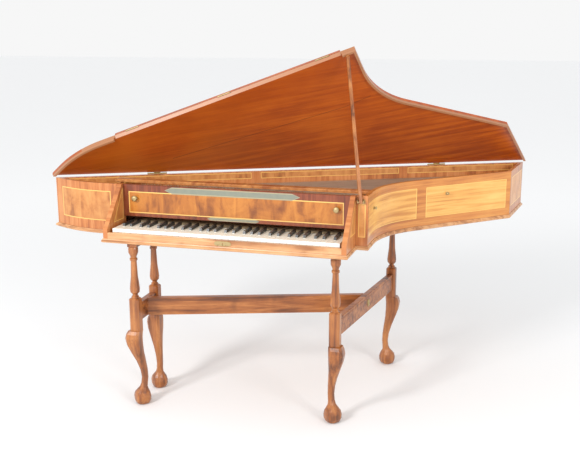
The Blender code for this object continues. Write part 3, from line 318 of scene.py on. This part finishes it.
# Mahogany boards seen in the plane of the closed lid, with a lighter lip and front edge
def lidWood(name, withMarks):
    made, t, shader, spot = startMaterial(name)
    down = t.node("ShaderNodeVectorRotate", {"Vector": spot, "Center": lidPin, "Axis": spineAlong,
                                             "Angle": lidOpen}, rotation_type="AXIS_ANGLE").outputs[0]
    grain = t.place(down, turn=(0, 0, math.radians(-14)))
    tint, pores = grainColour(t, grain, *tones("mahogany"))
    parts = t.node("ShaderNodeSeparateXYZ", {0: down}).outputs
    if withMarks:
        golden = t.math("MULTIPLY", t.smooth(parts[0], 0.55, -0.10),
                        t.smooth(t.noise(down, 2.5, 3), 0.30, 0.60))
        tint = t.mix(t.math("MULTIPLY", golden, 0.6), tint, colour["mahoganyGold"])
        front = t.smooth(parts[1], 0.34, 0.10)
        tint = t.mix(t.math("MULTIPLY", front, 0.45), tint, colour["mahoganyDark"])
        for (x0, y0), (x1, y1) in lidSeams:
            run = Vector((x1 - x0, y1 - y0))
            length = run.length
            run.normalize()
            dx, dy = t.math("SUBTRACT", parts[0], x0), t.math("SUBTRACT", parts[1], y0)
            cross = t.math("SUBTRACT", t.math("MULTIPLY", dx, run.y), t.math("MULTIPLY", dy, run.x))
            off = t.math("ABSOLUTE", cross)
            at = t.math("ADD", t.math("MULTIPLY", dx, run.x), t.math("MULTIPLY", dy, run.y))
            within = t.math("MULTIPLY", t.math("GREATER_THAN", at, 0.0), t.math("LESS_THAN", at, length))
            crack = t.math("MULTIPLY", within, t.smooth(off, 0.0016, 0.0006))
            tint = t.mix(t.math("MULTIPLY", crack, 0.75), tint, colour["seam"])
        lip = t.smooth(parts[2], caseTop + 0.00025, caseTop + 0.00005)
        tint = t.mix(t.math("MULTIPLY", lip, 0.85), tint, colour["lip"])
        edge = t.math("MULTIPLY", t.smooth(parts[1], 0.1035, 0.1025),
                      t.math("GREATER_THAN", parts[2], caseTop + 0.0006))
        tint = t.mix(t.math("MULTIPLY", edge, 0.8), tint, colour["lip"])
    polish = t.noise(spot, 7.0, 4)
    finishShader(t, shader, tint, t.math("ADD", 0.26, t.math("MULTIPLY", polish, 0.16)), pores, 0.05, 0.12)
    return made


# Ivory plates over limewood levers; whatever stands above the naturals is ebony
def keyMaterial(name):
    made, t, shader, spot = startMaterial(name)
    parts = t.node("ShaderNodeSeparateXYZ", {0: spot}).outputs
    backwards = t.place(spot, turn=(0, 0, -math.pi / 2))
    lever, pores = grainColour(t, backwards, (0.30, 0.20, 0.11), colour["lime"], (0.62, 0.47, 0.29))
    lines = t.noise(t.place(spot, (700.0, 18.0, 60.0)), 1.0, 3)
    plate = t.mix(t.smooth(lines, 0.35, 0.75), colour["ivory"], (0.80, 0.71, 0.54))
    facing = t.smooth(parts[1], 0.0005 - shift.y, 0.0015 - shift.y)
    plate = t.mix(facing, colour["ivoryFront"], plate)
    head = t.smooth(t.math("ABSOLUTE", t.math("SUBTRACT", parts[1], 0.0405 - shift.y)), 0.0006, 0.0003)
    plate = t.mix(t.math("MULTIPLY", head, 0.35), plate, (0.35, 0.27, 0.18))
    covered = t.math("MULTIPLY", t.math("GREATER_THAN", parts[2], keyTop - 0.0125),
                     t.math("LESS_THAN", parts[1], 0.1195 - shift.y))
    tint = t.mix(covered, lever, plate)
    sharp = t.math("GREATER_THAN", parts[2], keyTop + 0.0004)
    worn = t.noise(spot, 120.0, 3)
    black = t.mix(t.math("MULTIPLY", t.smooth(worn, 0.5, 0.8), 0.4), colour["ebony"], (0.05, 0.04, 0.035))
    tint = t.mix(sharp, tint, black)
    finishShader(t, shader, tint, t.math("ADD", 0.26, t.math("MULTIPLY", worn, 0.15)), pores, 0.02, 0.1)
    return made


# Beech wrestplank; the pins standing out of it are steel
def pinBlock(name):
    made, t, shader, spot = startMaterial(name)
    parts = t.node("ShaderNodeSeparateXYZ", {0: spot}).outputs
    wood, pores = grainColour(t, spot, *tones("walnut"))
    pin = t.math("MULTIPLY", t.math("GREATER_THAN", parts[2], 0.7535), t.math("LESS_THAN", parts[1], 0.194))
    tint = t.mix(pin, wood, colour["steel"])
    finishShader(t, shader, tint, 0.35, pores, 0.05, 0.1, pin)
    return made


print("stage: materials")
nameboardRect = (-0.078, 0.726, 0.694, 0.770)
# Centre and half size along and up, and length of the points, of the two plain plaques
nameboardPlaques = ((0.318, 0.225, 0.781, 0.0125, 0.030), (0.325, 0.085, 0.6865, 0.006, 0.014))
panelTop, panelLow = caseTop - 0.030, 0.609 + 0.046
cheekSlope = ((0.026, 0.660), (0.104, 0.775))
spineStart = spineLeft.dot(spineAlong)
wallMaterials = {
    "nameboard": panelWall("nameboardVeneer", (1, 0), [nameboardRect], lines=0.0019,
                           band="rosewood", inner="inset", plaques=nameboardPlaques),
    "spine": panelWall("spineVeneer", (spineAlong.x, spineAlong.y),
                       [(spineStart + 0.05, spineStart + 0.75, panelTop + 0.002, caseTop - 0.006),
                        (spineStart + 0.79, spineStart + 1.36, panelTop + 0.002, caseTop - 0.006),
                        (spineStart + 1.40, spineStart + 1.86, panelTop + 0.002, caseTop - 0.006)],
                       lines=0.0011, inner="walnut"),
    "bentside": panelWall("bentsideVeneer", (0, 1),
                          [(0.140, 0.468, panelLow, panelTop), (0.500, 0.776, panelLow, panelTop)],
                          vertical=False, lines=0.0010, band="amber", inner="honey", figured=False),
    "tail": panelWall("tailVeneer", (0, 1), [(0.815, 1.040, panelLow, panelTop)]),
    "left_end": panelWall("leftEndVeneer", (1, 0), [(-0.375, -0.150, panelLow + 0.004, panelTop)],
                          inner="walnut"),
    "front_return": panelWall("returnVeneer", (1, 0), [(0.7790, 0.8010, panelLow, panelTop)]),
    "left_cheek": panelWall("leftCheekVeneer", (0, 1), [(0.020, 0.108, 0.672, 0.785)],
                            slope=cheekSlope),
    "right_cheek": panelWall("rightCheekVeneer", (0, 1), [(0.020, 0.108, 0.672, 0.785)],
                             slope=cheekSlope),
}
slipWood = plainWood("slipWalnut", ("slipDark", "slip", "slipLight"))
walnutUp = plainWood("walnutUpright", ("crossbandDark", "walnut", "walnutLight"), (0, 0, math.pi / 2))
standUp = plainWood("standUpright", ("standDark", "stand", "standLight"), (0, math.pi / 2, 0), 0.26, 0.08, 0.35)
standAlong = plainWood("standAlong", ("standDark", "stand", "standLight"), (0, 0, -0.35), 0.3)
pineWood = plainWood("pineBare", ("spruceDark", "lime", "spruce"), rough=0.5, coat=0.0)
soundboardWood = plainWood("soundboardSpruce", ("spruceDark", "spruce", "spruce"), (0, 0, -spineAngle),
                           rough=0.55, bump=0.04, coat=0.0, scale=1.4)
beechWood = plainWood("beechBare", ("standLight", "lime", "lime"), (0, 0, -spineAngle), 0.45, 0.05, 0.0)
lidFace = lidWood("lidMahogany", True)
flapFace = lidWood("flapMahogany", False)
keyFace = keyMaterial("keyCovers")
pinFace = pinBlock("wrestplankWood")
brassFace = metal("agedBrass", "brass", "brassDark")


def pickMaterial(name):
    if name in wallMaterials:
        return wallMaterials[name]
    if name == "lid":
        return lidFace
    if name == "flap":
        return flapFace
    if name.startswith(("key_slip", "bottom_board")):
        return slipWood
    if name == "jack_rail":
        return walnutUp
    if name.startswith("key_frame") or name == "belly_rail":
        return pineWood
    if name.startswith(("key_", "keys_")):
        return keyFace
    if name in ("bridge", "hitchpin_rail", "jack_guide") or name.startswith("jack_"):
        return beechWood
    if name == "soundboard":
        return soundboardWood
    if name == "wrestplank":
        return pinFace
    if name.startswith("leg_") or name == "prop_stick":
        return standUp
    if name.startswith(("stretcher", "bearer")):
        return standAlong
    return brassFace


softened = {"width": 0.0009, "segments": 2}
roundedNames = ("leg_", "knob", "hook_stud", "bolt_cover", "hinge_leaf", "lid_leaf", "flap_hinge")
softenedNames = (*wallMaterials, "bottom_board", "key_slip", "lid", "flap", "jack_rail")
for nodeName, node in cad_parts.items():
    node.data.materials.clear()
    node.data.materials.append(pickMaterial(nodeName))
    rounded = nodeName.startswith(roundedNames)
    bpy.ops.object.select_all(action="DESELECT")
    node.select_set(True)
    bpy.context.view_layer.objects.active = node
    bpy.ops.object.shade_smooth_by_angle(angle=math.radians(46 if rounded else 25))
    if nodeName in softenedNames:
        bevel = node.modifiers.new("edge", "BEVEL")
        bevel.width, bevel.segments = softened["width"], softened["segments"]
        bevel.limit_method, bevel.angle_limit = "ANGLE", math.radians(40)
print("stage: frame dressed")


def beginPiece():
    bpy.ops.object.select_all(action="DESELECT")


# Strings: from the nut over the bridge to the hitchpin rail
stringSet = {"radius": 0.00017, "z": 0.7662, "nutY": 0.204, "jackY": 0.240, "beside": 0.0014}
# Shift of each sharp from the gap after the natural of that place in the octave, as a share of a key
sharpAfter = {0: 0.0, 1: 0.18, 3: -0.14, 4: 0.14, 6: -0.18}
pitch = 0.0231
sharpHalf = 0.0058
jackX = []
for natural in range(36):
    before = (natural - 1) % 7 in sharpAfter and natural > 0
    lowX = (natural + sharpAfter[(natural - 1) % 7]) * pitch + sharpHalf if before else natural * pitch
    after = natural % 7 in sharpAfter and natural < 35
    highX = (natural + 1 + sharpAfter[natural % 7]) * pitch - sharpHalf if after else (natural + 1) * pitch
    jackX.append((lowX + highX) / 2)
    if after:
        jackX.append((natural + 1 + sharpAfter[natural % 7]) * pitch)


# Plan of the bentside and tail in the keyboard's own frame: a quarter curve, a straight and a corner
plan = {"straightX": 0.899, "centreX": 1.249, "centreY": 0.214, "radius": 0.350, "curveEndX": 1.0015,
        "curveEndY": 0.4615, "cornerX": 1.3374, "cornerY": 0.7974, "tailSlope": 0.129,
        "railWidth": 0.028, "railCurve": 0.020}


# X of the wall at a given Y
def wallAt(y):
    if y < plan["centreY"]:
        return plan["straightX"]
    if y <= plan["curveEndY"]:
        return plan["centreX"] - math.sqrt(max(0, plan["radius"] ** 2 - (y - plan["centreY"]) ** 2))
    wall = plan["curveEndX"] + (y - plan["curveEndY"])
    if y > plan["cornerY"]:
        wall = min(wall, plan["cornerX"] + (y - plan["cornerY"]) * plan["tailSlope"])
    return wall


# Length of a string from the nut to the edge of the hitchpin rail
def stringLength(start):
    for step in range(1, 1900):
        p = start + Vector((spineAlong.x, spineAlong.y)) * step * 0.001
        besideCurve = plan["centreY"] <= p.y < plan["curveEndY"] and p.x < plan["curveEndX"]
        fromCentre = math.hypot(p.x - plan["centreX"], p.y - plan["centreY"])
        if besideCurve and fromCentre > plan["radius"] + plan["railCurve"]:
            continue
        if p.x > wallAt(p.y) - plan["railWidth"]:
            return step * 0.001
    return 1.9


stringFace, t, shader, spot = startMaterial("drawnWire")
wireTone = t.noise(spot, 200.0, 2)
finishShader(t, shader, t.mix(wireTone, (0.52, 0.44, 0.30), (0.36, 0.30, 0.22)), 0.3, coat=0.0, metallic=1.0)
wires = []
for x in jackX:
    back = (stringSet["jackY"] - stringSet["nutY"]) / math.tan(spineAngle)
    nutPoint = Vector((x + stringSet["beside"] - back, stringSet["nutY"]))
    length = stringLength(nutPoint)
    middle = nutPoint + Vector((spineAlong.x, spineAlong.y)) * length / 2
    beginPiece()
    bpy.ops.mesh.primitive_cylinder_add(vertices=6, radius=stringSet["radius"], depth=length,
                                        location=(middle.x - shift.x, middle.y - shift.y, stringSet["z"]),
                                        rotation=(math.pi / 2, 0, spineAngle + math.pi / 2))
    wires.append(bpy.context.object)
beginPiece()
for wire in wires:
    wire.select_set(True)
bpy.context.view_layer.objects.active = wires[0]
bpy.ops.object.join()
strings = bpy.context.object
strings.name = "strings"
bpy.ops.object.transform_apply(location=True, rotation=True, scale=True)
strings.data.materials.append(stringFace)
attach(strings, "case")
print("stage: strings")

# Floor, with a painted shadow round the case, and background
beginPiece()
bpy.ops.mesh.primitive_plane_add(size=60, location=(0.5, 5, -0.0005))
floor = bpy.context.object
floor.name = "floor"
floorFace, t, shader, spot = startMaterial("paleFloor")
# The floor is painted darker towards the point under the case: a painted shadow of the instrument; dusty adds
# faint dust mottling
underCase = Vector((0.5, 0.0, 0.0)) - floor.location
away = t.node("ShaderNodeVectorMath", {0: spot, 1: underCase}, operation="DISTANCE").outputs[1]
paintedShadow = t.mix(t.smooth(away, 0.8, 5.0), (0.86, 0.86, 0.86), (0.985, 0.985, 0.985))
dusty = t.math("MULTIPLY", t.noise(spot, 0.8, 3), 0.03)
finishShader(t, shader, t.mix(dusty, paintedShadow, (0.7, 0.7, 0.7)), 0.9, coat=0.0)
floor.data.materials.append(floorFace)

world = bpy.data.worlds.new("studio")
bpy.context.scene.world = world
world.use_nodes = True
t = Tree(world.node_tree)
background = world.node_tree.nodes["Background"]
path = t.node("ShaderNodeLightPath").outputs
mirrored = t.math("MAXIMUM", path["Is Glossy Ray"], path["Is Transmission Ray"])
direct = t.math("MAXIMUM", path["Is Camera Ray"], mirrored)
t.put(background.inputs["Color"], t.mix(direct, (0.90, 0.91, 0.92), (0.93, 0.93, 0.93)))
background.inputs["Strength"].default_value = 1.0


def lamp(name, place, aim, size, power):
    data = bpy.data.lights.new(name, "AREA")
    data.size, data.energy = size, power
    made = bpy.data.objects.new(name, data)
    bpy.context.scene.collection.objects.link(made)
    made.location = place
    made.rotation_mode = "QUATERNION"
    made.rotation_quaternion = (Vector(aim) - Vector(place)).to_track_quat("-Z", "Y")


lamp("keyLight", (-1.2, -3.6, 2.6), (0.5, 0.3, 0.7), 0.9, 125)
lamp("fillLight", (3.8, -2.4, 2.0), (0.6, 0.3, 0.7), 1.2, 55)

# Camera fitted to the photograph
cameraData = bpy.data.cameras.new("photoCamera")
cameraData.lens, cameraData.sensor_width = 54.49, 36
cameraData.shift_x, cameraData.shift_y = -0.0072, -0.0071
camera = bpy.data.objects.new("photoCamera", cameraData)
bpy.context.scene.collection.objects.link(camera)
camera.location = (1.388815, -2.747885, 1.3547)
camera.rotation_euler = (math.radians(76.77), math.radians(0.09), math.radians(16.29))
bpy.context.scene.camera = camera
bpy.context.scene.view_settings.view_transform = "Standard"

print("stage: finished")
